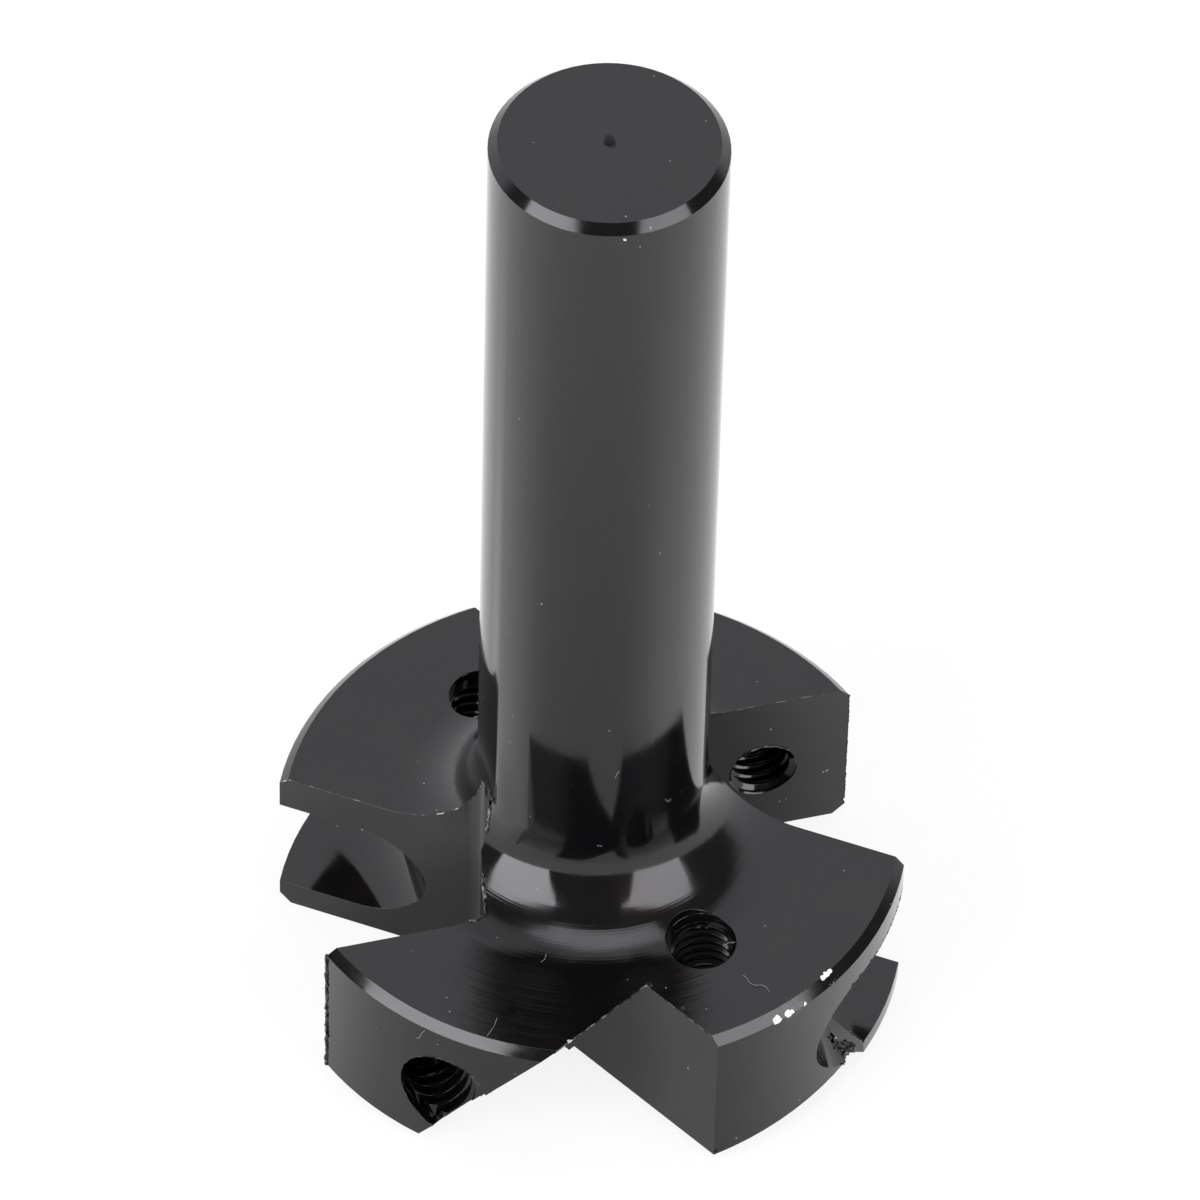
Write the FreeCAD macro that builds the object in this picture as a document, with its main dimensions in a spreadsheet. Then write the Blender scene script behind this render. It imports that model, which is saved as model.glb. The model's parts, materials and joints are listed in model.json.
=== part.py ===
"""Surfacing router bit: the bare steel cutter body, before its inserts and screws are fitted.

It is one piece of steel. A straight shank widens through a hollow neck into a thick disc. Two gullets
part the disc into two equal lobes. Each lobe carries a vertical seat for a square insert at its leading
end, a notch in its middle, a tilted seat for a second insert under the half behind the notch, and a slot
at its trailing end through which a driver reaches the seat screw of the lobe behind it.

Frame: origin in the middle of the disc's underside, +Z up along the shank, and X along the seat faces.
The bit turns clockwise, seen from the shank's end. Everything but the turned blank is cut twice, half a
turn apart.
"""

import FreeCAD, Part
import math
import os

import Sketcher

Vector = FreeCAD.Vector

# Driving sizes, in millimetres and degrees

SIZES = [
    ("shank_diameter", 12.7, "straight shank that the collet grips"),
    ("shank_length", 53.0, "from the disc's top face to the shank's end"),
    ("shank_chamfer", 0.5, "bevel round the shank's end"),
    ("centre_mark_radius", 0.35, "small cone left by the lathe centre"),
    ("centre_mark_depth", 0.3, "depth of that cone"),
    ("neck_radius", 5.0, "hollow curve between shank and disc"),
    ("head_diameter", 35.0, "disc across the rim"),
    ("head_height", 10.3, "thickness of the disc"),
    ("top_chamfer", 0.5, "bevel round the rim's top"),
    ("bottom_chamfer", 0.65, "bevel round the rim's underside"),
    ("seat_offset", 5.8, "from the axis to the vertical seat face"),
    ("seat_clearance", 1.15, "from the shank's surface to the seat face's inner end"),
    ("land_angle", 9.2, "lean of the gullet's inner wall beside the seat"),
    ("trailing_angle", 36.0, "plan angle of the trailing wall from the seat face"),
    ("trailing_offset", 3.65, "from the axis to the trailing wall"),
    ("gullet_corner_radius", 1.8, "end mill that leaves the gullet's inner corner"),
    ("gullet_graze", 0.2, "how deep that corner cuts inside the shank's surface"),
    ("gullet_rise", 8.0, "how far the gullet runs up the neck above the disc"),
    ("flat_depth", 0.22, "depth of the shallow flat on the shank"),
    ("flat_height", 9.8, "length of the flat, up from the neck"),
    ("notch_angle", 60.0, "plan angle of the notch's steep face from the seat face"),
    ("notch_face_offset", 6.45, "from the axis to the notch's steep face"),
    ("notch_wall_offset", 10.7, "from the axis to the leaning wall's top edge"),
    ("notch_wall_lean", 35.2, "how far the leaning wall undercuts, from upright"),
    ("insert_width", 11.0, "square insert under the lobe"),
    ("insert_clearance", 0.1, "gap round the insert in its recess"),
    ("insert_inset", 0.05, "how far the insert's edge lies behind the notch face"),
    ("recess_depth", 0.65, "recess depth at the notch"),
    ("recess_tilt", 7.1, "rise of the recess behind its cutting edge"),
    ("lower_screw_reach", 10.6, "lower insert's screw along the notch face"),
    ("seat_screw_reach", 11.6, "seat screw from the axis, along the seat"),
    ("seat_screw_drop", 5.5, "seat screw below the disc's top face"),
    ("screw_core_diameter", 3.3, "core of the M4 screw threads"),
    ("screw_mouth_diameter", 3.9, "countersunk mouth of the M4 holes"),
    ("slot_height", 6.4, "height of the driver slot"),
    ("slot_setback", 0.65, "slot's round end, outward of the screw's axis"),
    ("driver_hole_diameter", 5.4, "round bore on the screw's axis"),
]

# How far each cutting outline stands outside the steel that it removes
OVERRUN = 2.0

doc = FreeCAD.newDocument("surfacing_router_bit")

sheet = doc.addObject("Spreadsheet::Sheet", "sizes")
for row, (alias, value, note) in enumerate(SIZES, start=1):
    sheet.set(f"A{row}", note)
    sheet.set(f"B{row}", str(value))
    sheet.setAlias(f"B{row}", alias)
doc.recompute()

body = doc.addObject("PartDesign::Body", "cutter_body")
body.Label = "cutter_body"


def size(alias):
    """Value of one driving size, as the sheet holds it."""
    return float(sheet.get(alias))


def origin_plane(role):
    """One of the body's three origin planes."""
    return next(item for item in body.Origin.OriginFeatures if item.Role == role)


def new_sketch(name, role, turn="0", shift_x="0", shift_z="0"):
    """Sketch on an origin plane, turned about the plane's own upright axis and shifted in its frame."""
    sketch = body.newObject("Sketcher::SketchObject", name)
    sketch.AttachmentSupport = (origin_plane(role), "")
    sketch.MapMode = "FlatFace"
    upright = Vector(0, 1, 0)
    sketch.AttachmentOffset = FreeCAD.Placement(Vector(), FreeCAD.Rotation(upright, 1.0))
    sketch.setExpression("AttachmentOffset.Rotation.Angle", turn)
    sketch.setExpression("AttachmentOffset.Base.x", shift_x)
    sketch.setExpression("AttachmentOffset.Base.z", shift_z)
    doc.recompute()
    return sketch


def draw_outline(sketch, points):
    """Closed chain of straight lines through the points, joined end to end."""
    count = len(points)
    corners = [Vector(x, y, 0) for x, y in points]
    for index in range(count):
        sketch.addGeometry(Part.LineSegment(corners[index], corners[(index + 1) % count]))
    for index in range(count):
        join_ends(sketch, index, 2, (index + 1) % count, 1)


def join_ends(sketch, first, first_end, second, second_end):
    """Make two ends one point."""
    sketch.addConstraint(Sketcher.Constraint("Coincident", first, first_end, second, second_end))


def tie(sketch, name, expression, kind, *references):
    """Add a dimension, starting from the drawn geometry, and drive it by an expression."""
    index = sketch.addConstraint(Sketcher.Constraint(kind, *references))
    sketch.renameConstraint(index, name)
    sketch.setExpression(f"Constraints.{name}", expression)


def place_corner(sketch, line, name, x_expression, y_expression, start_x, start_y):
    """Place the first end of a line, measured from the sketch's origin."""
    tie(sketch, f"{name}_x", x_expression, "DistanceX", -1, 1, line, 1, start_x)
    tie(sketch, f"{name}_y", y_expression, "DistanceY", -1, 1, line, 1, start_y)


def cut(name, sketch, length, forward):
    """Pocket from the sketch, along its normal when forward is set, and against it otherwise."""
    before = body.Shape.Volume
    pocket = body.newObject("PartDesign::Pocket", name)
    pocket.Profile = sketch
    pocket.Reversed = forward
    pocket.setExpression("Length", length)
    doc.recompute()
    if not pocket.Shape.Volume < before:
        raise RuntimeError(f"{name} removes nothing")
    return pocket


# Turned blank: shank, hollow neck and disc, as one half section about the axis


def turned_blank():
    shank = size("shank_diameter") / 2
    rim = size("head_diameter") / 2
    neck = size("neck_radius")
    top = size("head_height")
    end = top + size("shank_length")
    bevel = size("shank_chamfer")
    over, under = size("top_chamfer"), size("bottom_chamfer")
    mark, depth = size("centre_mark_radius"), size("centre_mark_depth")

    sketch = new_sketch("section", "XZ_Plane")
    floor, low_bevel, side, high_bevel, face, shaft, end_bevel, end_face, cone, axis = range(10)
    lines = [
        ((0, 0), (rim - under, 0)),
        ((rim - under, 0), (rim, under)),
        ((rim, under), (rim, top - over)),
        ((rim, top - over), (rim - over, top)),
        ((rim - over, top), (shank + neck, top)),
        ((shank, top + neck), (shank, end - bevel)),
        ((shank, end - bevel), (shank - bevel, end)),
        ((shank - bevel, end), (mark, end)),
        ((mark, end), (0, end - depth)),
        ((0, end - depth), (0, 0)),
    ]
    for start, finish in lines:
        sketch.addGeometry(Part.LineSegment(Vector(*start, 0), Vector(*finish, 0)))
    hollow = Part.Circle(Vector(shank + neck, top + neck, 0), Vector(0, 0, 1), neck)
    curve = sketch.addGeometry(Part.ArcOfCircle(hollow, math.pi, 1.5 * math.pi))

    for line in (floor, low_bevel, side, high_bevel, shaft, end_bevel, end_face, cone, axis):
        following = floor if line == axis else line + 1
        join_ends(sketch, line, 2, following, 1)
    join_ends(sketch, floor, 1, -1, 1)
    for line in (floor, face, end_face):
        sketch.addConstraint(Sketcher.Constraint("Horizontal", line))
    for line in (side, shaft, axis):
        sketch.addConstraint(Sketcher.Constraint("Vertical", line))
    sketch.addConstraint(Sketcher.Constraint("Tangent", face, 2, curve, 2))
    sketch.addConstraint(Sketcher.Constraint("Tangent", shaft, 1, curve, 1))

    tie(sketch, "rim_radius", "sizes.head_diameter / 2", "DistanceX", -1, 1, side, 1, rim)
    tie(sketch, "under_in", "sizes.bottom_chamfer", "DistanceX", low_bevel, 1, low_bevel, 2, under)
    tie(sketch, "under_up", "sizes.bottom_chamfer", "DistanceY", low_bevel, 1, low_bevel, 2, under)
    tie(sketch, "over_in", "sizes.top_chamfer", "DistanceX", high_bevel, 2, high_bevel, 1, over)
    tie(sketch, "over_up", "sizes.top_chamfer", "DistanceY", high_bevel, 1, high_bevel, 2, over)
    tie(sketch, "head_top", "sizes.head_height", "DistanceY", -1, 1, face, 1, top)
    tie(sketch, "neck_curve", "sizes.neck_radius", "Radius", curve, neck)
    tie(sketch, "shank_radius", "sizes.shank_diameter / 2", "DistanceX", -1, 1, shaft, 1, shank)
    tie(sketch, "shank_top", "sizes.head_height + sizes.shank_length", "DistanceY", -1, 1, end_face, 1, end)
    tie(sketch, "end_in", "sizes.shank_chamfer", "DistanceX", end_bevel, 2, end_bevel, 1, bevel)
    tie(sketch, "end_up", "sizes.shank_chamfer", "DistanceY", end_bevel, 1, end_bevel, 2, bevel)
    tie(sketch, "mark_radius", "sizes.centre_mark_radius", "DistanceX", -1, 1, cone, 1, mark)
    tie(sketch, "mark_depth", "sizes.centre_mark_depth", "DistanceY", cone, 2, cone, 1, depth)
    doc.recompute()

    blank = body.newObject("PartDesign::Revolution", "blank")
    blank.Profile = sketch
    blank.ReferenceAxis = (sketch, ["V_Axis"])
    blank.Angle = 360
    doc.recompute()
    return sketch


# Gullet: trailing wall of one lobe, round inner corner, inner wall, and seat face of the other lobe


def gullet():
    slope = math.radians(size("trailing_angle"))
    lean = math.radians(size("land_angle"))
    corner = size("gullet_corner_radius")
    seat = size("seat_offset")
    outside = size("head_diameter") / 2 + OVERRUN
    centre_x = size("gullet_graze") - size("shank_diameter") / 2 - corner
    centre_y = -(size("trailing_offset") + corner + centre_x * math.sin(slope)) / math.cos(slope)
    touch_x = centre_x + corner * math.sin(slope)
    touch_y = centre_y + corner * math.cos(slope)
    outer_y = touch_y + (touch_x + outside) * math.tan(slope)
    inner_x = -(size("shank_diameter") / 2 + size("seat_clearance"))
    # The inner wall runs from the seat face to the nearer crossing with the corner's circle
    along_x, along_y = math.sin(lean), math.cos(lean)
    gap_x, gap_y = centre_x - inner_x, centre_y + seat
    middle = gap_x * along_x + gap_y * along_y
    half_chord = math.sqrt(corner**2 - (gap_x**2 + gap_y**2 - middle**2))
    cusp_x = inner_x + (middle - half_chord) * along_x
    cusp_y = -seat + (middle - half_chord) * along_y

    sketch = new_sketch("gullet_outline", "XY_Plane")
    trailing, outer, seat_line, land, curve = range(5)
    sketch.addGeometry(Part.LineSegment(Vector(touch_x, touch_y, 0), Vector(-outside, outer_y, 0)))
    sketch.addGeometry(Part.LineSegment(Vector(-outside, outer_y, 0), Vector(-outside, -seat, 0)))
    sketch.addGeometry(Part.LineSegment(Vector(-outside, -seat, 0), Vector(inner_x, -seat, 0)))
    sketch.addGeometry(Part.LineSegment(Vector(inner_x, -seat, 0), Vector(cusp_x, cusp_y, 0)))
    circle = Part.Circle(Vector(centre_x, centre_y, 0), Vector(0, 0, 1), corner)
    from_angle = math.atan2(cusp_y - centre_y, cusp_x - centre_x)
    to_angle = math.atan2(touch_y - centre_y, touch_x - centre_x)
    sketch.addGeometry(Part.ArcOfCircle(circle, from_angle, to_angle))

    join_ends(sketch, trailing, 2, outer, 1)
    join_ends(sketch, outer, 2, seat_line, 1)
    join_ends(sketch, seat_line, 2, land, 1)
    join_ends(sketch, land, 2, curve, 1)
    sketch.addConstraint(Sketcher.Constraint("Tangent", trailing, 1, curve, 2))
    sketch.addConstraint(Sketcher.Constraint("Vertical", outer))
    sketch.addConstraint(Sketcher.Constraint("Horizontal", seat_line))

    tie(sketch, "outside", f"-(sizes.head_diameter / 2 + {OVERRUN})", "DistanceX", -1, 1, outer, 1, -outside)
    tie(sketch, "seat", "-sizes.seat_offset", "DistanceY", -1, 1, land, 1, -seat)
    inner_end = "-(sizes.shank_diameter / 2 + sizes.seat_clearance)"
    tie(sketch, "inner_end", inner_end, "DistanceX", -1, 1, land, 1, inner_x)
    tie(sketch, "land_lean", "(90 - sizes.land_angle) * 1 deg", "Angle", land, math.pi / 2 - lean)
    tie(sketch, "corner", "sizes.gullet_corner_radius", "Radius", curve, corner)
    reach = "sizes.gullet_graze - sizes.shank_diameter / 2 - sizes.gullet_corner_radius"
    tie(sketch, "reach", reach, "DistanceX", -1, 1, curve, 3, centre_x)
    tie(sketch, "trailing_slope", "(180 - sizes.trailing_angle) * 1 deg", "Angle", trailing, math.pi - slope)
    tie(sketch, "trailing", "sizes.trailing_offset", "Distance", -1, 1, trailing, size("trailing_offset"))
    doc.recompute()
    return cut("gullet", sketch, "sizes.head_height + sizes.gullet_rise", True)


# Shallow flat on the shank, just above the neck


def shank_flat():
    half = size("shank_diameter") / 2
    near = half - size("flat_depth")
    far = half + OVERRUN
    sketch = new_sketch("flat_outline", "XY_Plane", shift_z="sizes.head_height + sizes.neck_radius")
    draw_outline(sketch, [(-far, -half), (-near, -half), (-near, half), (-far, half)])
    left, right = f"-(sizes.shank_diameter / 2 + {OVERRUN})", "sizes.flat_depth - sizes.shank_diameter / 2"
    back, front = "-sizes.shank_diameter / 2", "sizes.shank_diameter / 2"
    place_corner(sketch, 0, "near_left", left, back, -far, -half)
    place_corner(sketch, 1, "near_right", right, back, -near, -half)
    place_corner(sketch, 2, "far_right", right, front, -near, half)
    place_corner(sketch, 3, "far_left", left, front, -far, half)
    doc.recompute()
    return cut("shank_flat", sketch, "sizes.flat_height", True)


# Upright sketch in the notch's steep face: across is outward along the face, up is up

ANGLE = "sizes.notch_angle * 1 deg"


def face_on_sketch(name):
    shift_x = f"-sizes.notch_face_offset * sin({ANGLE})"
    shift_z = f"sizes.notch_face_offset * cos({ANGLE})"
    return new_sketch(name, "XZ_Plane", f"-{ANGLE}", shift_x, shift_z)


# Notch in the middle of the lobe: an upright face, and opposite it a wall that undercuts the lobe


def notch():
    lean = math.radians(size("notch_wall_lean"))
    top = size("head_height") + OVERRUN
    high = size("notch_wall_offset") + OVERRUN * math.tan(lean)
    low = size("notch_wall_offset") - top * math.tan(lean)
    outside = size("head_diameter") / 2 + OVERRUN

    sketch = face_on_sketch("notch_outline")
    draw_outline(sketch, [(high, top), (low, -OVERRUN), (outside, -OVERRUN), (outside, top)])
    rise = "tan(sizes.notch_wall_lean * 1 deg)"
    high_x = f"sizes.notch_wall_offset + {OVERRUN} * {rise}"
    low_x = f"sizes.notch_wall_offset - (sizes.head_height + {OVERRUN}) * {rise}"
    far_x = f"sizes.head_diameter / 2 + {OVERRUN}"
    top_y = f"sizes.head_height + {OVERRUN}"
    place_corner(sketch, 0, "wall_top", high_x, top_y, high, top)
    place_corner(sketch, 1, "wall_foot", low_x, f"-{OVERRUN}", low, -OVERRUN)
    place_corner(sketch, 2, "rim_foot", far_x, f"-{OVERRUN}", outside, -OVERRUN)
    place_corner(sketch, 3, "rim_top", far_x, top_y, outside, top)
    doc.recompute()
    return cut("notch", sketch, "sizes.head_diameter / 2", True)


# Lower insert's seat. Its frame starts where the screw's axis meets the seat: across runs back along
# the seat, which rises behind the cutting edge, and up is along the screw

TILT = "sizes.recess_tilt * 1 deg"
SETBACK = "(sizes.insert_width / 2 + sizes.insert_inset)"


def lower_seat_plane():
    """Upright plane through the lower screw's axis, square to the notch's steep face."""
    plane = body.newObject("PartDesign::Plane", "lower_seat_plane")
    plane.AttachmentSupport = (origin_plane("XZ_Plane"), "")
    plane.MapMode = "FlatFace"
    plane.AttachmentOffset = FreeCAD.Placement(Vector(), FreeCAD.Rotation(Vector(0, 1, 0), 1.0))
    plane.setExpression("AttachmentOffset.Rotation.Angle", f"90 deg - {ANGLE}")
    plane.setExpression("AttachmentOffset.Base.x", f"sizes.lower_screw_reach * cos({ANGLE})")
    plane.setExpression("AttachmentOffset.Base.z", f"sizes.lower_screw_reach * sin({ANGLE})")
    doc.recompute()
    return plane


def seat_sketch(name, plane, inward="0"):
    """Sketch in the lower seat's frame, moved inward along the notch face."""
    sketch = body.newObject("Sketcher::SketchObject", name)
    sketch.AttachmentSupport = (plane, "")
    sketch.MapMode = "FlatFace"
    sketch.AttachmentOffset = FreeCAD.Placement(Vector(), FreeCAD.Rotation(Vector(0, 0, 1), 1.0))
    sketch.setExpression("AttachmentOffset.Rotation.Angle", TILT)
    along = f"{SETBACK} * cos({TILT}) - sizes.notch_face_offset"
    sketch.setExpression("AttachmentOffset.Base.x", along)
    sketch.setExpression("AttachmentOffset.Base.y", f"sizes.recess_depth + {SETBACK} * sin({TILT})")
    sketch.setExpression("AttachmentOffset.Base.z", f"-({inward})")
    doc.recompute()
    return sketch


def lower_recess(plane):
    """Square corner for the insert, open to the notch and the rim."""
    gap = size("insert_width") / 2 + size("insert_clearance")
    front = -(size("insert_width") / 2 + size("insert_inset") + OVERRUN)
    low = -(size("recess_depth") + size("insert_width") + OVERRUN)
    gap_text = "sizes.insert_width / 2 + sizes.insert_clearance"
    front_text = f"-({SETBACK} + {OVERRUN})"
    low_text = f"-(sizes.recess_depth + sizes.insert_width + {OVERRUN})"

    sketch = seat_sketch("recess_outline", plane, gap_text)
    draw_outline(sketch, [(front, low), (gap, low), (gap, 0), (front, 0)])
    place_corner(sketch, 0, "front_foot", front_text, low_text, front, low)
    place_corner(sketch, 1, "back_foot", gap_text, low_text, gap, low)
    tie(sketch, "back_edge", gap_text, "DistanceX", -1, 1, 2, 1, gap)
    sketch.addConstraint(Sketcher.Constraint("PointOnObject", 2, 1, -1))
    tie(sketch, "front_edge", front_text, "DistanceX", -1, 1, 3, 1, front)
    sketch.addConstraint(Sketcher.Constraint("PointOnObject", 3, 1, -1))
    doc.recompute()
    return cut("lower_recess", sketch, "sizes.head_diameter / 2", True)


def lower_screw_hole(plane):
    """Tapped hole square to the seat, right through the lobe, with a countersunk mouth at each end."""
    core, mouth = size("screw_core_diameter") / 2, size("screw_mouth_diameter") / 2
    tilt = math.radians(size("recess_tilt"))
    setback = size("insert_width") / 2 + size("insert_inset")
    rise = size("head_height") - size("recess_depth") - setback * math.sin(tilt)
    top = rise / math.cos(tilt)
    high, low = top + OVERRUN, -OVERRUN
    bevel = mouth - core
    core_text, mouth_text = "sizes.screw_core_diameter / 2", "sizes.screw_mouth_diameter / 2"
    bevel_text = f"({mouth_text} - {core_text})"
    top_text = f"(sizes.head_height - sizes.recess_depth - {SETBACK} * sin({TILT})) / cos({TILT})"
    high_text, low_text = f"{top_text} + {OVERRUN}", f"-{OVERRUN}"

    sketch = seat_sketch("lower_screw_profile", plane)
    corners = [
        ("axis_low", "0", low_text, 0, low),
        ("seat_out", mouth_text, low_text, mouth, low),
        ("seat_mouth", mouth_text, "0", mouth, 0),
        ("seat_core", core_text, bevel_text, core, bevel),
        ("top_core", core_text, f"{top_text} - {bevel_text}", core, top - bevel),
        ("top_mouth", mouth_text, top_text, mouth, top),
        ("top_out", mouth_text, high_text, mouth, high),
        ("axis_high", "0", high_text, 0, high),
    ]
    draw_outline(sketch, [(x, y) for _, _, _, x, y in corners])
    for line, (name, x_text, y_text, x, y) in enumerate(corners):
        if x_text == "0":
            sketch.addConstraint(Sketcher.Constraint("PointOnObject", line, 1, -2))
        else:
            tie(sketch, f"{name}_x", x_text, "DistanceX", -1, 1, line, 1, x)
        if y_text == "0":
            sketch.addConstraint(Sketcher.Constraint("PointOnObject", line, 1, -1))
        else:
            tie(sketch, f"{name}_y", y_text, "DistanceY", -1, 1, line, 1, y)
    doc.recompute()

    before = body.Shape.Volume
    hole = body.newObject("PartDesign::Groove", "lower_screw_hole")
    hole.Profile = sketch
    hole.ReferenceAxis = (sketch, ["V_Axis"])
    hole.Angle = 360
    doc.recompute()
    if not hole.Shape.Volume < before:
        raise RuntimeError("lower_screw_hole removes nothing")
    return hole


# Seat screw's tapped hole, drilled to the core of its thread, with a countersunk mouth


def seat_screw_hole():
    x = -size("seat_screw_reach")
    z = size("head_height") - size("seat_screw_drop")
    core = size("screw_core_diameter")
    sketch = new_sketch("seat_screw_centre", "XZ_Plane", shift_z="sizes.seat_offset")
    sketch.addGeometry(Part.Circle(Vector(x, z, 0), Vector(0, 0, 1), core / 2))
    tie(sketch, "centre_x", "-sizes.seat_screw_reach", "DistanceX", -1, 1, 0, 3, x)
    tie(sketch, "centre_y", "sizes.head_height - sizes.seat_screw_drop", "DistanceY", -1, 1, 0, 3, z)
    tie(sketch, "core", "sizes.screw_core_diameter", "Diameter", 0, core)
    doc.recompute()

    before = body.Shape.Volume
    hole = body.newObject("PartDesign::Hole", "seat_screw_hole")
    hole.Profile = sketch
    doc.recompute()
    hole.Reversed = True
    hole.DepthType = "ThroughAll"
    hole.HoleCutType = "Countersink"
    hole.HoleCutCustomValues = True
    hole.setExpression("Diameter", "sizes.screw_core_diameter")
    hole.setExpression("HoleCutDiameter", "sizes.screw_mouth_diameter")
    hole.HoleCutCountersinkAngle = 90
    doc.recompute()
    if not hole.Shape.Volume < before:
        raise RuntimeError("seat_screw_hole removes nothing")
    return hole


# Driver slot through the trailing end, on the axis of the seat screw across the gullet


def driver_slot():
    half = size("slot_height") / 2
    end_x = -(size("seat_screw_reach") + size("slot_setback"))
    z = size("head_height") - size("seat_screw_drop")
    outside = size("head_diameter") / 2 + OVERRUN

    sketch = new_sketch("slot_outline", "XZ_Plane", shift_z="sizes.seat_offset")
    upper, outer, lower, curve = range(4)
    sketch.addGeometry(Part.LineSegment(Vector(end_x, z + half, 0), Vector(-outside, z + half, 0)))
    sketch.addGeometry(Part.LineSegment(Vector(-outside, z + half, 0), Vector(-outside, z - half, 0)))
    sketch.addGeometry(Part.LineSegment(Vector(-outside, z - half, 0), Vector(end_x, z - half, 0)))
    circle = Part.Circle(Vector(end_x, z, 0), Vector(0, 0, 1), half)
    sketch.addGeometry(Part.ArcOfCircle(circle, -math.pi / 2, math.pi / 2))
    join_ends(sketch, upper, 2, outer, 1)
    join_ends(sketch, outer, 2, lower, 1)
    sketch.addConstraint(Sketcher.Constraint("Tangent", lower, 2, curve, 1))
    sketch.addConstraint(Sketcher.Constraint("Tangent", upper, 1, curve, 2))
    sketch.addConstraint(Sketcher.Constraint("Horizontal", upper))
    sketch.addConstraint(Sketcher.Constraint("Horizontal", lower))
    sketch.addConstraint(Sketcher.Constraint("Vertical", outer))
    tie(sketch, "round_end", "sizes.slot_height / 2", "Radius", curve, half)
    end_text = "-(sizes.seat_screw_reach + sizes.slot_setback)"
    tie(sketch, "end_x", end_text, "DistanceX", -1, 1, curve, 3, end_x)
    tie(sketch, "level", "sizes.head_height - sizes.seat_screw_drop", "DistanceY", -1, 1, curve, 3, z)
    tie(sketch, "outside", f"-(sizes.head_diameter / 2 + {OVERRUN})", "DistanceX", -1, 1, outer, 1, -outside)
    doc.recompute()
    return cut("driver_slot", sketch, "sizes.seat_offset + sizes.head_diameter / 2", False)


def driver_hole():
    x = -size("seat_screw_reach")
    z = size("head_height") - size("seat_screw_drop")
    bore = size("driver_hole_diameter")
    sketch = new_sketch("driver_hole_outline", "XZ_Plane", shift_z="sizes.seat_offset")
    sketch.addGeometry(Part.Circle(Vector(x, z, 0), Vector(0, 0, 1), bore / 2))
    tie(sketch, "centre_x", "-sizes.seat_screw_reach", "DistanceX", -1, 1, 0, 3, x)
    tie(sketch, "centre_y", "sizes.head_height - sizes.seat_screw_drop", "DistanceY", -1, 1, 0, 3, z)
    tie(sketch, "bore", "sizes.driver_hole_diameter", "Diameter", 0, bore)
    doc.recompute()
    return cut("driver_hole", sketch, "sizes.seat_offset + sizes.head_diameter / 2", False)


section = turned_blank()
seat_plane = lower_seat_plane()
cuts = [
    gullet(),
    shank_flat(),
    notch(),
    lower_recess(seat_plane),
    lower_screw_hole(seat_plane),
    seat_screw_hole(),
    driver_slot(),
    driver_hole(),
]

# The same cuts again, half a turn round the axis

second_lobe = body.newObject("PartDesign::PolarPattern", "second_lobe")
second_lobe.Originals = cuts
second_lobe.Axis = (section, ["V_Axis"])
second_lobe.Angle = 360
second_lobe.Occurrences = 2
body.Tip = second_lobe
doc.recompute()

for item in doc.Objects:
    if "Invalid" in item.State or "Error" in item.State:
        raise RuntimeError(f"{item.Name} failed: {item.State}")
shape = body.Shape
if shape.isNull() or not shape.isValid() or len(shape.Solids) != 1:
    raise RuntimeError("cutter_body isn't one valid solid")

os.makedirs("parts", exist_ok=True)
shape.exportStep(f"parts/{body.Label}.step")
box = shape.BoundBox
print(f"{body.Label}: {shape.Volume:.1f} mm3, {box.XLength:.2f} x {box.YLength:.2f} x {box.ZLength:.2f} mm")
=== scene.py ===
"""Surfacing router bit: the bare steel cutter body in black oxide, with its threads, burrs and wear."""

import json
import math

import bmesh
import bpy
from bpy.props import FloatProperty, FloatVectorProperty, IntProperty, PointerProperty
from mathutils import Matrix, Vector

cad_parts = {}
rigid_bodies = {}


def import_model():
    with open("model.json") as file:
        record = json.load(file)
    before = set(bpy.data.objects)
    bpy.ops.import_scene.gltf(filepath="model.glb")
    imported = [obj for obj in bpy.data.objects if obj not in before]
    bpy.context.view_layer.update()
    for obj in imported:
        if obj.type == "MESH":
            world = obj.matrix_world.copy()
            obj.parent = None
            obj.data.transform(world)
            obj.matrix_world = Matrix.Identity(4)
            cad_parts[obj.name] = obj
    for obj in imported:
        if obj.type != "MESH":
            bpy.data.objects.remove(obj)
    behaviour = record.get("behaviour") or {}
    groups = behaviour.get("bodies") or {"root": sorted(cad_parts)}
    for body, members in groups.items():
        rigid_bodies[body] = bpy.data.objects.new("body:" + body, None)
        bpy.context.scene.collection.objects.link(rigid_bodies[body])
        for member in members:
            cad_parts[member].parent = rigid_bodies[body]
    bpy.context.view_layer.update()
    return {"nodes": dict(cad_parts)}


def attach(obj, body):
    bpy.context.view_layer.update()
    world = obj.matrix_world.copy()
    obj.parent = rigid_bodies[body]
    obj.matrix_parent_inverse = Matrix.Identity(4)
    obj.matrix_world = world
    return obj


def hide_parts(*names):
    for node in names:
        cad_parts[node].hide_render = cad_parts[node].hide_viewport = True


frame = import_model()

bl_info = {
    "name": "Surfacing router bit",
    "version": (1, 0, 0),
    "blender": (4, 5, 0),
    "location": "View3D > Sidebar > Router Bit",
    "description": "Dresses the bare cutter body of a surfacing router bit",
    "category": "Object",
}

MM = 0.001
BODY = frame["nodes"]["cutter_body"]

# Screw holes of one lobe, in millimetres: where the axis leaves the steel, which way it leaves, and how deep
# the tap goes. The other lobe's are the same, half a turn round the shank
SEAT_SCREW = {"mouth": (11.6, 5.8, 4.8), "out": (0.0, -1.0, 0.0), "depth": 10.2}
LOWER_SCREW = {"mouth": (4.484, -9.651, 1.336), "out": (0.10704, 0.0618, -0.99233), "depth": 8.25}
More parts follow.
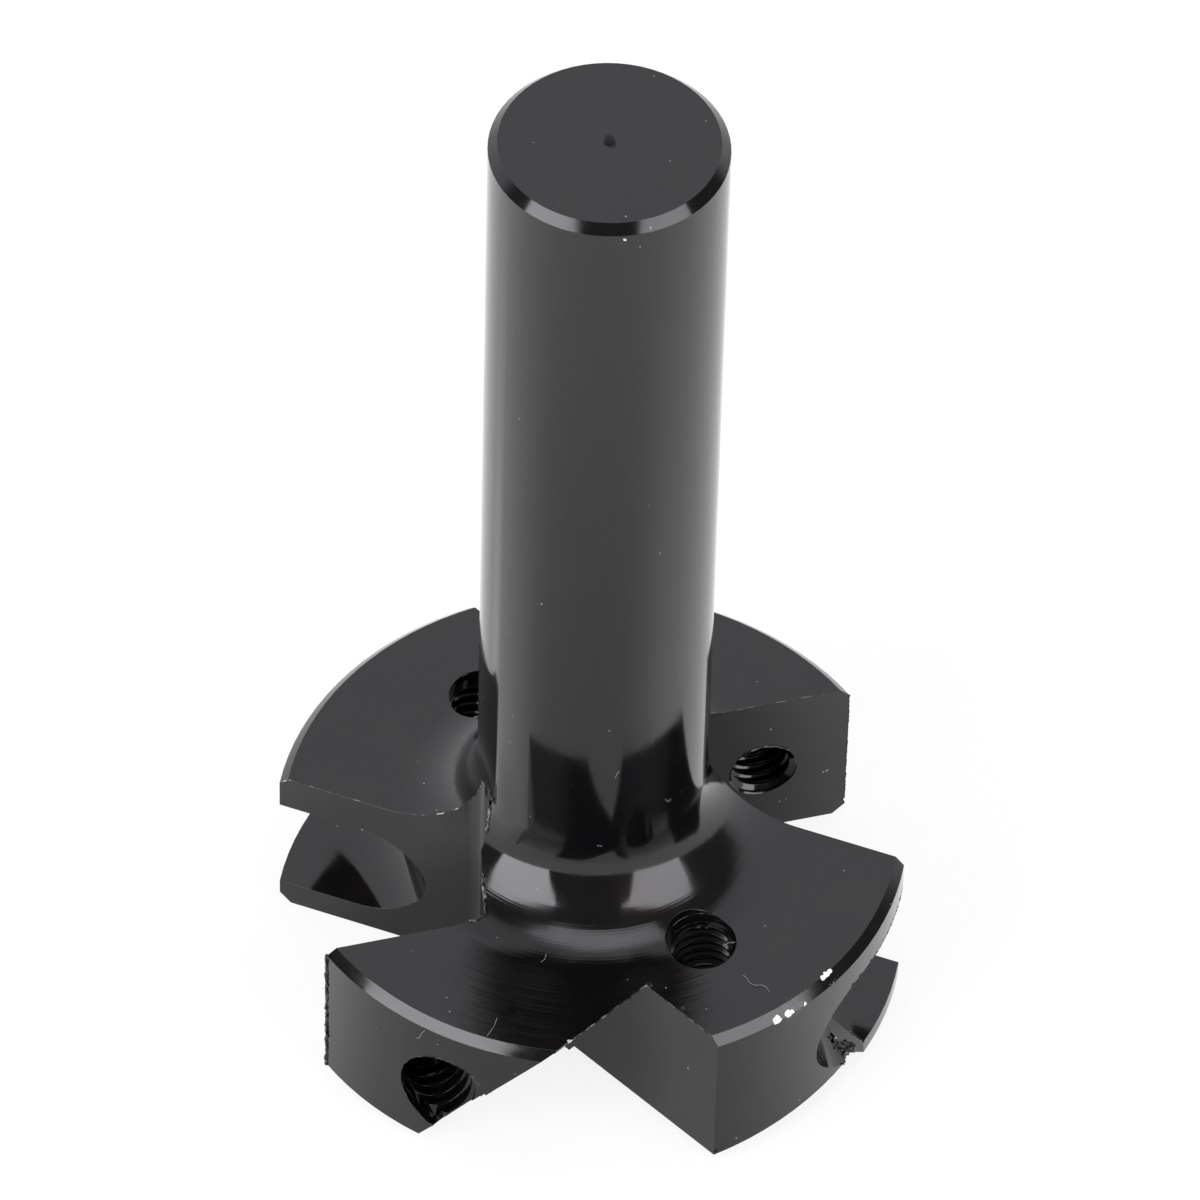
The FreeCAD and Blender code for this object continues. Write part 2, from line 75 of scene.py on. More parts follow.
# The front lobe's seat screw hole: how deep its round thread goes, where its oval one starts, and how long
# the oval one is
ROUND_THREAD, OVAL_START, OVAL_THREAD = 2.05, 2.65, 6.95
OVERLAP = 0.1  # how far a thread's cutter reaches into the bore
STEP_HALF = 4.0  # half the length of the wider bore beyond a lower screw hole's thread
RIM = 17.5  # radius of the disc
RELIEF = 0.8  # how far in from the rim the oval hole is cleared
CORE_HEIGHT = 40.0  # of the cylinder that keeps the clearing out of the disc's middle

# Nicks in the edges: place in millimetres and share of the full nick's radius
NICKS = (
    ((11.39, -13.29, 7.97), 0.75), ((11.93, -12.81, 7.99), 0.9), ((12.80, -11.94, 7.99), 0.8),
    ((10.02, -14.35, 9.86), 0.9), ((9.70, -14.57, 9.84), 0.55), ((16.52, 5.85, 1.0), 1.0),
    ((2.66, -17.31, 0.95), 0.8), ((-5.36, -15.53, 10.32), 0.7), ((-16.5, -5.75, 3.1), 0.8),
    ((-16.52, -5.78, 7.4), 0.6), ((-0.05, -12.5, 10.32), 0.8), ((1.3, -14.6, 10.35), 0.6),
    ((0.06, 0.05, 63.37), 1.5),
)
NICK_WANDER = 0.25  # how uneven a nick is, as a share of the full nick's radius


class ThreadSizes(bpy.types.PropertyGroup):
    """Sizes of the tapped threads."""

    pitch: FloatProperty(
        name="Pitch", description="Rise of one turn",
        default=0.7 * MM, unit="LENGTH", precision=5,
    )
    core: FloatProperty(
        name="Core radius", description="Radius of the drilled hole",
        default=1.65 * MM, unit="LENGTH", precision=5,
    )
    root: FloatProperty(
        name="Root radius", description="Radius at the bottom of the groove",
        default=2.03 * MM, unit="LENGTH", precision=5,
    )
    step: FloatProperty(
        name="Step radius", description="Radius of the wider bore beyond the lower threads",
        default=1.93 * MM, unit="LENGTH", precision=5,
    )
    oval: FloatProperty(
        name="Oval", description="How much taller than wide the front lobe's seat screw hole is at the rim",
        default=1.5, min=1,
    )
    steps: IntProperty(name="Steps", description="Faces round one turn", default=40, min=8)


class BurrSizes(bpy.types.PropertyGroup):
    """Sizes of the burrs, nicks and lint."""

    piece: FloatProperty(
        name="Piece length", description="Longest straight piece of a burr",
        default=0.22 * MM, unit="LENGTH", precision=5,
    )
    nick: FloatProperty(
        name="Nick radius", description="Radius of the larger nicks in the edges",
        default=0.17 * MM, unit="LENGTH", precision=5,
    )
    lint: FloatProperty(
        name="Lint radius", description="Half the thickness of a fibre",
        default=0.014 * MM, unit="LENGTH", precision=5,
    )
    seed: IntProperty(name="Seed", description="Start of the random shapes", default=4, min=0)


class OxideFinish(bpy.types.PropertyGroup):
    """Colours and gloss of the black steel."""

    black: FloatVectorProperty(
        name="Black oxide", description="Colour of the finish",
        default=(0.0024, 0.0024, 0.0026), size=3, subtype="COLOR",
    )
    brown: FloatVectorProperty(
        name="Brown oxide", description="Colour of the finish where it is thin",
        default=(0.0075, 0.0042, 0.003), size=3, subtype="COLOR",
    )
    # Also painted in patches on the burrs: partly real wear, partly painted highlight where they catch the
    # light
    bare: FloatVectorProperty(
        name="Bare steel", description="Colour where the finish has chipped",
        default=(0.85, 0.82, 0.76), size=3, subtype="COLOR",
    )
    dust: FloatVectorProperty(
        name="Dust", description="Colour of dust and lint",
        default=(0.2, 0.197, 0.19), size=3, subtype="COLOR",
    )
    roughness: FloatProperty(
        name="Roughness", description="Roughness of the finish",
        default=0.1, min=0, max=1, subtype="FACTOR",
    )
    edge: FloatProperty(
        name="Edge radius", description="How far the edges look rounded",
        default=0.035 * MM, unit="LENGTH", precision=5,
    )


class StudioLook(bpy.types.PropertyGroup):
    """Floor and light."""

    floor: FloatVectorProperty(
        name="Floor", description="Colour of the floor",
        default=(0.9, 0.9, 0.9), size=3, subtype="COLOR",
    )
    softbox_left: FloatProperty(
        name="Left softbox", description="Brightness of the left front softbox",
        default=6.6, min=0,
    )
    softbox_right: FloatProperty(
        name="Right softbox", description="Brightness of the right front softbox",
        default=4.75, min=0,
    )
    softbox_top: FloatProperty(
        name="Top softbox", description="Brightness of the softbox overhead",
        default=2.8, min=0,
    )
    back: FloatProperty(
        name="Back", description="Brightness of the backdrop as the steel reflects it",
        default=1.17, min=0,
    )
    dark: FloatProperty(
        name="Dark side", description="Brightness of the room beside the softboxes",
        default=0.15, min=0,
    )


def select_only(piece):
    """Deselect everything, then select one object and make it active."""
    bpy.ops.object.select_all(action="DESELECT")
    piece.select_set(True)
    bpy.context.view_layer.objects.active = piece


def apply_modifiers(piece):
    select_only(piece)
    for modifier in list(piece.modifiers):
        bpy.ops.object.modifier_apply(modifier=modifier.name)


def settle(piece):
    """Bring a finished piece's place into its mesh, so its object lies at the origin."""
    select_only(piece)
    bpy.ops.object.transform_apply(location=True, rotation=True, scale=True)


def pick(piece, test):
    """In edit mode, select just the vertices that pass the test."""
    bpy.ops.mesh.select_mode(type="VERT")
    bpy.ops.mesh.select_all(action="DESELECT")
    mesh = bmesh.from_edit_mesh(piece.data)
    for vertex in mesh.verts:
        vertex.select = test(vertex.co)
    mesh.select_flush_mode()
    bmesh.update_edit_mesh(piece.data)


# Threads


def thread_cutter(sizes, depth):
    """Helical ridge along +Z, from below the mouth to the depth, with the form of the groove it cuts."""
    inside = sizes.core - OVERLAP * MM
    middle = (inside + sizes.root) / 2
    bpy.ops.mesh.primitive_plane_add(size=1, location=(middle, 0, 0), rotation=(math.pi / 2, 0, 0))
    cutter = bpy.context.active_object
    cutter.name = "thread_cutter"
    flat = sizes.pitch / 8
    wide = flat + 2 * (sizes.root - inside) * math.tan(math.radians(30))
    cutter.scale = (sizes.root - inside, wide, 1)
    bpy.ops.object.transform_apply(location=True, rotation=True, scale=True)
    bpy.ops.object.mode_set(mode="EDIT")
    pick(cutter, lambda co: co.x > middle)
    bpy.ops.transform.resize(value=(1, 1, flat / wide), center_override=(sizes.root, 0, 0))
    bpy.ops.mesh.select_all(action="SELECT")
    bpy.ops.mesh.delete(type="ONLY_FACE")
    bpy.ops.object.mode_set(mode="OBJECT")
    screw = cutter.modifiers.new("helix", "SCREW")
    screw.screw_offset = sizes.pitch
    screw.iterations = math.ceil(depth / sizes.pitch)
    screw.steps = screw.render_steps = sizes.steps
    screw.use_smooth_shade = True
    apply_modifiers(cutter)
    bpy.ops.object.mode_set(mode="EDIT")
    bpy.ops.mesh.select_all(action="SELECT")
    bpy.ops.mesh.remove_doubles(threshold=1e-7)
    bpy.ops.mesh.select_mode(type="EDGE")
    bpy.ops.mesh.select_all(action="DESELECT")
    bpy.ops.mesh.select_non_manifold()
    bpy.ops.mesh.fill_holes(sides=0)
    bpy.ops.mesh.select_all(action="SELECT")
    bpy.ops.mesh.normals_make_consistent(inside=False)
    bpy.ops.object.mode_set(mode="OBJECT")
    return cutter


def screw_places():
    """Mouth, outward axis and depth of each of the screw holes, in metres."""
    places = []
    half_turn = Matrix.Rotation(math.pi, 3, "Z")
    for name, screw in (("seat", SEAT_SCREW), ("lower", LOWER_SCREW)):
        mouth, out = Vector(screw["mouth"]) * MM, Vector(screw["out"])
        places.append((name, mouth, out, screw["depth"] * MM))
        places.append((name, half_turn @ mouth, half_turn @ out, screw["depth"] * MM))
    return places


def carve(body, cutter):
    """Cut one closed piece out of another, then drop it."""
    cutout = body.modifiers.new("cut", "BOOLEAN")
    cutout.operation = "DIFFERENCE"
    cutout.solver = "EXACT"
    cutout.object = cutter
    apply_modifiers(body)
    bpy.data.objects.remove(cutter)


def bore_cutter(name, radius, depth):
    """Plain bore along +Z."""
    bpy.ops.mesh.primitive_cylinder_add(
        vertices=64, radius=radius, depth=depth, location=(0, 0, depth / 2))
    cutter = bpy.context.active_object
    cutter.name = name
    settle(cutter)
    return cutter


def tap(body, sizes, mouth, out, depth, oval=1.0):
    """Cut a thread from the mouth inwards; an oval one is bored taller first, and cleared at the rim last."""
    cutters = [thread_cutter(sizes, depth)]
    if oval > 1:
        cutters.insert(0, bore_cutter("bore", sizes.core, depth))
        cutters.append(bore_cutter("relief", sizes.root, 2 * depth))
    turn = Vector((0, 0, 1)).rotation_difference(-out).to_matrix().to_4x4()
    for cutter in cutters:
        cutter.matrix_world = Matrix.Translation(mouth) @ turn @ Matrix.Diagonal((1, oval, 1, 1))
        settle(cutter)
        if cutter.name == "relief":
            bpy.ops.mesh.primitive_cylinder_add(
                vertices=192, radius=(RIM - RELIEF) * MM, depth=CORE_HEIGHT * MM)
            carve(cutter, bpy.context.active_object)
        carve(body, cutter)


def step_cutter(sizes, mouth, out, depth):
    """Wider plain bore beyond a lower screw hole's thread, out through the disc's top."""
    turn = Vector((0, 0, 1)).rotation_difference(-out)
    middle = mouth - out * (depth + STEP_HALF * MM)
    bpy.ops.mesh.primitive_cylinder_add(
        vertices=56, radius=sizes.step, depth=2 * STEP_HALF * MM, location=middle, rotation=turn.to_euler())
    cutter = bpy.context.active_object
    cutter.name = "step"
    settle(cutter)
    return cutter


def nick_cutter():
    """Small lumps, one for each nick, as one piece."""
    burrs = bpy.context.scene.burr_sizes
    lumps = []
    for place, share in NICKS:
        bpy.ops.mesh.primitive_ico_sphere_add(
            subdivisions=2, radius=burrs.nick * share, location=Vector(place) * MM)
        lumps.append(bpy.context.active_object)
    for lump in lumps:
        lump.select_set(True)
    bpy.ops.object.join()
    cutter = bpy.context.active_object
    cutter.name = "nick_cutter"
    settle(cutter)
    bpy.ops.object.mode_set(mode="EDIT")
    bpy.ops.mesh.select_all(action="SELECT")
    bpy.ops.transform.vertex_random(offset=burrs.nick * NICK_WANDER, seed=burrs.seed)
    bpy.ops.object.mode_set(mode="OBJECT")
    return cutter


class CUTTER_OT_body(bpy.types.Operator):
    """Copy the cutter body and cut the threads of its screw holes"""

    bl_idname = "cutter.body"
    bl_label = "Threaded body"

    def execute(self, context):
        sizes = context.scene.thread_sizes
        select_only(BODY)
        bpy.ops.object.duplicate()
        body = context.active_object
        body.name = body.data.name = "threaded_body"
        body.parent = None
        bpy.ops.mesh.customdata_custom_splitnormals_clear()
        bpy.ops.object.mode_set(mode="EDIT")
        bpy.ops.mesh.select_all(action="SELECT")
        bpy.ops.mesh.remove_doubles(threshold=1e-6)
        bpy.ops.mesh.dissolve_limited(angle_limit=math.radians(0.3))
        bpy.ops.object.mode_set(mode="OBJECT")

        for name, mouth, out, depth in screw_places():
            if name == "seat" and mouth.x < 0:
                tap(body, sizes, mouth, out, ROUND_THREAD * MM)
                tap(body, sizes, mouth - out * OVAL_START * MM, out, OVAL_THREAD * MM, sizes.oval)
            else:
                tap(body, sizes, mouth, out, depth)
            if name == "lower":
                carve(body, step_cutter(sizes, mouth, out, depth))
        carve(body, nick_cutter())

        select_only(body)
        bpy.ops.object.mode_set(mode="EDIT")
        bpy.ops.mesh.select_all(action="SELECT")
        bpy.ops.mesh.dissolve_degenerate(threshold=5e-7)
        bpy.ops.object.mode_set(mode="OBJECT")
        bpy.ops.object.shade_smooth_by_angle(angle=math.radians(28))
        even = body.modifiers.new("even", "WEIGHTED_NORMAL")
        even.keep_sharp = True
        apply_modifiers(body)
        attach(body, "root")
        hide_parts("cutter_body")
        return {"FINISHED"}


# Burrs and lint

BEYOND = 0.12  # how far a stretch of edge goes on past its ends, as a share of its length
SHARP = math.radians(18)  # from this turn on, an edge carries a burr
HALVINGS = 7  # most times that a burr's pieces are halved
UNEVEN = 0.4  # how uneven a burr's surface is, as a share of its thickness


def near_line(co, start, end, reach):
    """Whether a point in millimetres lies within reach of the stretch from start to end."""
    start, end = Vector(start), Vector(end)
    share = (co - start).dot(end - start) / (end - start).length_squared
    return -BEYOND <= share <= 1 + BEYOND and (co - start.lerp(end, share)).length < reach


def near_ring(co, centre, axis, low, high, thick):
    """Whether a point lies between two radii round an axis, and near the centre's plane."""
    offset = co - Vector(centre)
    along = offset.dot(Vector(axis))
    return abs(along) < thick and low < (offset - Vector(axis) * along).length < high


def at_rim(co, depth):
    """Whether a point lies on the rim, or at most so far inside it."""
    return Vector((co.x, co.y)).length > RIM - depth


# Where each burr stands, how thick it is and how far it wanders, in millimetres, and how it is finished
# The finish says how much of the burr gets patches of light steel colour: partly real wear, partly painted
# highlight where the round burr catches the light
BURRS = {
    "burr_gullet": (
        lambda co: near_line(co, (-15.6, 6.8, 10.3), (-8.7, 1.8, 10.9), 0.45)
        or near_line(co, (-8.9, 1.9, 10.9), (-6.4, 0.0, 14.5), 0.7), 0.028, 0.012, "bare"),
    "burr_gullet_corner": (
        lambda co: near_line(co, (-6.2, -1.4, 15.0), (-7.5, -5.5, 10.7), 0.9), 0.1, 0.1, "wear_and_glint"),
    "burr_notch_left": (
        lambda co: near_line(co, (-0.24, -12.49, 10.3), (-6.64, -16.19, 10.3), 0.3), 0.04, 0.045, "wear_and_glint"),
    "burr_notch_right": (
        lambda co: near_line(co, (-0.4, -12.4, 10.3), (2.8, -17.0, 10.3), 0.35), 0.03, 0.03, "oxide"),
    "burr_left_end": (
        lambda co: near_line(co, (-16.55, -5.7, 0.4), (-16.55, -5.7, 10.2), 0.35), 0.11, 0.06, "oxide"),
    "burr_seat_top": (
        lambda co: near_line(co, (7.4, 5.8, 10.3), (16.6, 5.8, 10.3), 0.3), 0.018, 0.018, "wear_and_glint"),
    "burr_seat_end": (
        lambda co: near_line(co, (16.5, 5.8, 0.6), (16.5, 5.8, 9.9), 0.3), 0.03, 0.03, "oxide"),
    "burr_slot_top": (
        lambda co: near_line(co, (16.4, -6.4, 8.0), (10.5, -14.2, 8.0), 1.2) and at_rim(co, 0.1),
        0.02, 0.02, "oxide"),
    "burr_screw_a": (
        lambda co: near_ring(co, (-2.05, 8.55, 10.4), (0, 0, 1), 1.5, 2.5, 1.3), 0.05, 0.05, "wear_and_glint"),
    "burr_screw_b": (
        lambda co: near_ring(co, (11.6, 5.8, 4.8), (0, 1, 0), 1.75, 2.2, 0.12) and co.z > 6.0,
        0.05, 0.05, "bare"),
    "burr_screw_c": (
        lambda co: near_ring(co, (2.05, -8.55, 10.4), (0, 0, 1), 1.5, 2.5, 1.3), 0.04, 0.035, "oxide"),
    "burr_slot_exit": (
        lambda co: near_line(co, (9.9, -12.4, 1.9), (12.5, -12.5, 1.7), 1.4) and co.z > 1.2,
        0.06, 0.12, "wear_and_glint"),
    "burr_screw_d": (
        lambda co: near_ring(co, (-11.6, -12.6, 4.8), (0, 1, 0), 1.5, 3.3, 3.2) and at_rim(co, 0.07),
        0.03, 0.03, "oxide"),
}

# Corners in millimetres of the torn sheet that curls out of the slot where it breaks into the insert's seat,
# how far it is crumpled, and its thickness
TORN_LIP = ((10.55, -11.75, 2.05), (12.0, -12.2, 1.66), (11.8, -12.7, 1.5), (10.6, -13.55, 1.9))
LIP_WANDER, LIP_THICKNESS = 0.16, 0.06

# Fibres on the steel, as lines of points in millimetres
LINT = {
    "lint_curl": (
        (5.1, -13.1, 10.34), (5.24, -13.43, 10.36), (5.3, -13.82, 10.38), (5.58, -14.04, 10.4),
        (5.91, -14.08, 10.38), (6.12, -14.32, 10.36), (6.15, -14.63, 10.34)),
    "lint_hook": ((-4.98, -9.1, 10.42), (-5.11, -9.37, 10.36), (-5.37, -9.52, 10.34)),
    "lint_top": ((-8.72, -12.83, 10.34), (-9.02, -13.35, 10.35), (-9.57, -13.95, 10.34)),
    "lint_rim": ((-12.6, -12.2, 9.7), (-12.73, -12.06, 9.35), (-12.86, -11.93, 8.81), (-12.99, -11.78, 8.68)),
    "lint_shank": ((-0.34, -6.38, 21.25), (-0.45, -6.37, 21.03), (-0.55, -6.37, 20.72)),
    "lint_neck": ((2.46, -5.9, 17.67), (2.66, -5.81, 17.27), (2.86, -5.72, 17.36)),
    "lint_screw": ((5.3, -10.73, 10.36), (4.96, -10.72, 10.4), (4.59, -10.82, 10.36)),
}


def round_off(piece, radius):
    """Turn a piece made of edges into thin round strands."""
    select_only(piece)
    bpy.ops.object.convert(target="CURVE")
    piece.data.bevel_depth = radius
    piece.data.bevel_resolution = 1
    piece.data.use_fill_caps = True
    bpy.ops.object.convert(target="MESH")
    bpy.ops.object.mode_set(mode="EDIT")
    bpy.ops.mesh.select_all(action="SELECT")
    bpy.ops.mesh.remove_doubles(threshold=1e-7)
    bpy.ops.mesh.normals_make_consistent(inside=False)
    bpy.ops.object.mode_set(mode="OBJECT")


def burr(body, name, test, thick, wander):
    """Rough thread of steel along the sharp edges that pass the test."""
    burrs = bpy.context.scene.burr_sizes
    select_only(body)
    bpy.ops.object.mode_set(mode="EDIT")
    bpy.ops.mesh.select_mode(type="EDGE")
    bpy.ops.mesh.select_all(action="DESELECT")
    mesh = bmesh.from_edit_mesh(body.data)
    for edge in mesh.edges:
        sharp = len(edge.link_faces) == 2 and edge.calc_face_angle(0) > SHARP
        edge.select = sharp and all(test(vertex.co / MM) for vertex in edge.verts)
    bmesh.update_edit_mesh(body.data)
    bpy.ops.mesh.duplicate()
    bpy.ops.mesh.separate(type="SELECTED")
    bpy.ops.object.mode_set(mode="OBJECT")
    strand = next(piece for piece in bpy.context.selected_objects if piece is not body)
    strand.name = strand.data.name = name
    select_only(strand)
    bpy.ops.object.mode_set(mode="EDIT")
    for halving in range(HALVINGS):
        mesh = bmesh.from_edit_mesh(strand.data)
        for edge in mesh.edges:
            edge.select = edge.calc_length() > burrs.piece
        mesh.select_flush_mode()
        bmesh.update_edit_mesh(strand.data)
        if any(edge.select for edge in mesh.edges):
            bpy.ops.mesh.subdivide(number_cuts=1)
    bpy.ops.mesh.select_all(action="SELECT")
    bpy.ops.transform.vertex_random(offset=wander * MM, seed=burrs.seed)
    bpy.ops.object.mode_set(mode="OBJECT")
    round_off(strand, thick * MM)
    bpy.ops.object.mode_set(mode="EDIT")
    bpy.ops.mesh.select_all(action="SELECT")
    bpy.ops.transform.vertex_random(offset=thick * UNEVEN * MM, seed=burrs.seed + 1)
    bpy.ops.object.mode_set(mode="OBJECT")
    select_only(strand)
    bpy.ops.object.shade_smooth_by_angle(angle=math.radians(60))
    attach(strand, "root")


def in_torn_hole(co):
    """Whether a point in metres lies in one of the torn sheet's few small holes."""
    return math.sin(co.x * 9100) * math.sin(co.y * 7300 + 2) > 0.93


def torn_lip():
    """Crumpled thin sheet between the corners of the tear."""
    burrs = bpy.context.scene.burr_sizes
    bpy.ops.mesh.primitive_grid_add(x_subdivisions=14, y_subdivisions=10, size=2)
    lip = bpy.context.active_object
    lip.name = lip.data.name = "torn_lip"
    first, second, third, fourth = (Vector(corner) * MM for corner in TORN_LIP)
    for vertex in lip.data.vertices:
        across, along = (vertex.co.x + 1) / 2, (vertex.co.y + 1) / 2
        vertex.co = first.lerp(second, across).lerp(fourth.lerp(third, across), along)
    bpy.ops.object.mode_set(mode="EDIT")
    bpy.ops.mesh.select_all(action="SELECT")
    bpy.ops.transform.vertex_random(offset=LIP_WANDER * MM, seed=burrs.seed + 2)
    pick(lip, in_torn_hole)
    bpy.ops.mesh.delete(type="VERT")
    bpy.ops.object.mode_set(mode="OBJECT")
    sheet = lip.modifiers.new("sheet", "SOLIDIFY")
    sheet.thickness = LIP_THICKNESS * MM
    sheet.offset = 0
    apply_modifiers(lip)
    bpy.ops.object.shade_smooth_by_angle(angle=math.radians(50))
    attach(lip, "root")


class CUTTER_OT_burrs(bpy.types.Operator):
    """Raise the burrs along the rough edges"""

    bl_idname = "cutter.burrs"
    bl_label = "Burrs"

    def execute(self, context):
        body = bpy.data.objects["threaded_body"]
        for name, values in BURRS.items():
            test, thick, wander = values[:3]
            burr(body, name, test, thick, wander)
        torn_lip()
        return {"FINISHED"}


class CUTTER_OT_lint(bpy.types.Operator):
    """Lay a few fibres on the steel"""

    bl_idname = "cutter.lint"
    bl_label = "Lint"

    def execute(self, context):
        for name, points in LINT.items():
            mesh = bpy.data.meshes.new(name)
            runs = [(step, step + 1) for step in range(len(points) - 1)]
            mesh.from_pydata([Vector(point) * MM for point in points], runs, [])
            fibre = bpy.data.objects.new(name, mesh)
            context.scene.collection.objects.link(fibre)
            round_off(fibre, context.scene.burr_sizes.lint)
            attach(fibre, "root")
        return {"FINISHED"}


# Finish


class Graph:
    """Short ways to add and join shader nodes."""

    def __init__(self, tree):
        self.nodes, self.links = tree.nodes, tree.links

    def node(self, kind, **values):
        made = self.nodes.new(kind)
        for name, value in values.items():
            setattr(made, name, value)
        return made

    def feed(self, node, **sources):
        for name, source in sources.items():
            place = node.inputs[int(name[1:])] if name[1:].isdigit() else node.inputs[name.replace("_", " ")]
            if isinstance(source, bpy.types.NodeSocket):
                self.links.new(source, place)
            else:
                place.default_value = source
        return node

    def sum(self, operation, first, second=None, third=None):
        made = self.node("ShaderNodeMath", operation=operation)
        inputs = {f"i{at}": value for at, value in enumerate((first, second, third)) if value is not None}
        return self.feed(made, **inputs).outputs[0]

    def ramp(self, value, start, end, low=0.0, high=1.0):
        made = self.node("ShaderNodeMapRange", interpolation_type="SMOOTHSTEP")
        self.feed(made, Value=value, From_Min=start, From_Max=end, To_Min=low, To_Max=high)
        return made.outputs["Result"]

    def vector(self, operation, *sources):
        made = self.node("ShaderNodeVectorMath", operation=operation)
        return self.feed(made, **{f"i{at}": source for at, source in enumerate(sources)}).outputs

    def stretch(self, place, scale):
        return self.vector("MULTIPLY", place, scale)[0]

    def length(self, place):
        return self.vector("LENGTH", place)["Value"]

    def distance(self, place, point):
        return self.vector("DISTANCE", place, point)["Value"]

    def height(self, place):
        return self.feed(self.node("ShaderNodeSeparateXYZ"), Vector=place).outputs["Z"]

    def blend(self, share, first, second):
        made = self.node("ShaderNodeMix", data_type="RGBA")
        return self.feed(made, Factor=share, A=first, B=second).outputs["Result"]

    def noise(self, place, scale, detail=2.0, dimensions="3D"):
        made = self.node("ShaderNodeTexNoise", noise_dimensions=dimensions)
        self.feed(made, Scale=scale, Detail=detail)
        self.feed(made, **{"W" if dimensions == "1D" else "Vector": place})
        return made.outputs["Fac"]


def fresh_graph(owner):
    """Empty node tree of a material or world, ready to build in."""
    owner.use_nodes = True
    owner.node_tree.nodes.clear()
    return Graph(owner.node_tree)


def new_group(name, outputs):
    """Node group that takes a place on the piece and puts out the named values."""
    tree = bpy.data.node_groups.new(name, "ShaderNodeTree")
    tree.interface.new_socket(name="Place", in_out="INPUT", socket_type="NodeSocketVector")
    for output in outputs:
        tree.interface.new_socket(name=output, in_out="OUTPUT", socket_type="NodeSocketFloat")
    graph = Graph(tree)
    return tree, graph, graph.node("NodeGroupInput").outputs["Place"], graph.node("NodeGroupOutput")


def turning_marks():
    """Rings that the lathe left on the disc's top and the neck: height by distance from the axis."""
    tree, graph, place, result = new_group("turning_marks", ["Height", "Turned"])
    radius = graph.length(graph.stretch(place, (1, 1, 0)))
    fine = graph.noise(radius, 9500, 2, "1D")
    coarse = graph.noise(radius, 1900, 2, "1D")
    both = graph.sum("MULTIPLY_ADD", coarse, 1.5, fine)
    neck_foot, disc_top = (6.9 * MM, 8.8 * MM), (9.7 * MM, 10.1 * MM)
    raised = graph.ramp(graph.height(place), *disc_top)
    turned = graph.sum("MULTIPLY", graph.ramp(radius, *neck_foot), raised)
    graph.feed(result, Height=graph.sum("MULTIPLY", both, turned), Turned=turned)
    return tree


def milling_marks():
    """Upright lines that the end mill left in the gullets' corners, and faint ones on the milled faces."""
    tree, graph, place, result = new_group("milling_marks", ["Height"])
    lines = graph.noise(graph.stretch(place, (1, 1, 0.01)), 5200, 2)
    corner_x, corner_y = 6.9 * MM, -0.4 * MM
    corner = None
    for side in (-1, 1):
        gap = graph.distance(graph.stretch(place, (1, 1, 0)), (side * corner_x, side * corner_y, 0))
        here = graph.ramp(gap, 1.0 * MM, 2.0 * MM, 1.0, 0.04)
        corner = here if corner is None else graph.sum("MAXIMUM", corner, here)
    radius = graph.length(graph.stretch(place, (1, 1, 0)))
    shank_side = (6.4 * MM, 6.55 * MM)
    outside = graph.ramp(radius, *shank_side)
    milled = graph.sum("MULTIPLY", corner, outside)
    graph.feed(result, Height=graph.sum("MULTIPLY", lines, milled))
    return tree


def dust_specks():
    """Scattered dots of dust."""
    tree, graph, place, result = new_group("dust_specks", ["Mask"])
    masks = []
    for scale, size, share in ((1100, 0.045, 0.76), (500, 0.03, 0.62)):
        cells = graph.feed(graph.node("ShaderNodeTexVoronoi", feature="F1"), Vector=place, Scale=scale)
        tints = graph.feed(graph.node("ShaderNodeSeparateColor"), Color=cells.outputs["Color"])
        chosen = graph.sum("GREATER_THAN", tints.outputs[0], share)
        dot = graph.sum("LESS_THAN", cells.outputs["Distance"], size)
        masks.append(graph.sum("MULTIPLY", chosen, dot))
    graph.feed(result, Mask=graph.sum("MAXIMUM", *masks))
    return tree


# Chips in the finish: place and radius in millimetres, and how bright they are
CHIPS = (
    ((9.8, -13.92, 10.26), 0.17, 1.0), ((9.58, -14.08, 10.27), 0.2, 1.0), ((9.36, -14.24, 10.26), 0.17, 1.0),
    ((6.15, -16.3, 9.86), 0.24, 1.0), ((6.88, -16.01, 9.87), 0.22, 1.0), ((7.12, -15.92, 9.9), 0.14, 0.9),
    ((7.97, -15.55, 9.83), 0.1, 0.9), ((9.98, -14.45, 9.86), 0.1, 0.5), ((16.45, 5.72, 10.05), 0.14, 1.0),
    ((-5.3, -15.4, 10.3), 0.13, 0.6), ((-1.36, -6.22, 15.2), 0.05, 0.2), ((-1.2, -6.25, 15.18), 0.04, 0.2),
    ((-0.88, -6.29, 62.5), 0.09, 0.5), ((0.5, -6.25, 62.95), 0.07, 0.25),
    ((15.2, 5.8, 3.71), 0.08, 0.35), ((15.42, 5.8, 3.74), 0.07, 0.3), ((12.7, 5.8, 1.85), 0.05, 0.12),
    ((13.1, 5.8, 1.95), 0.05, 0.12), ((12.0, 5.8, 8.1), 0.06, 0.3),
)
CHIP_WANDER = 0.36  # how far a chip's outline wanders, in millimetres
SCUFF = (7.3, -15.9, 10.1)  # middle of the scuffs on the front lobe's rim, in millimetres


def chips():
    """Places where the finish has chipped down to bright steel, and the greyish scuffs round them."""
    tree, graph, place, result = new_group("chips", ["Mask", "Scuff"])
    ragged = graph.feed(graph.node("ShaderNodeTexNoise"), Vector=place, Scale=3600, Detail=4).outputs["Color"]
    push = graph.vector("MULTIPLY_ADD", ragged, (CHIP_WANDER * MM,) * 3, (-CHIP_WANDER / 2 * MM,) * 3)[0]
    moved = graph.vector("ADD", place, push)[0]
    mask = None
    for centre, size, bright in CHIPS:
        inside = graph.sum("LESS_THAN", graph.distance(moved, Vector(centre) * MM), size * MM)
        chip = graph.sum("MULTIPLY", inside, bright)
        mask = chip if mask is None else graph.sum("MAXIMUM", mask, chip)
    scuff = graph.ramp(graph.distance(moved, Vector(SCUFF) * MM), 0.3 * MM, 1.2 * MM, 0.03, 0.0)
    patches = graph.ramp(graph.noise(place, 3200, 3), 0.5, 0.62)
    graph.feed(result, Mask=mask, Scuff=graph.sum("MULTIPLY", scuff, patches))
    return tree


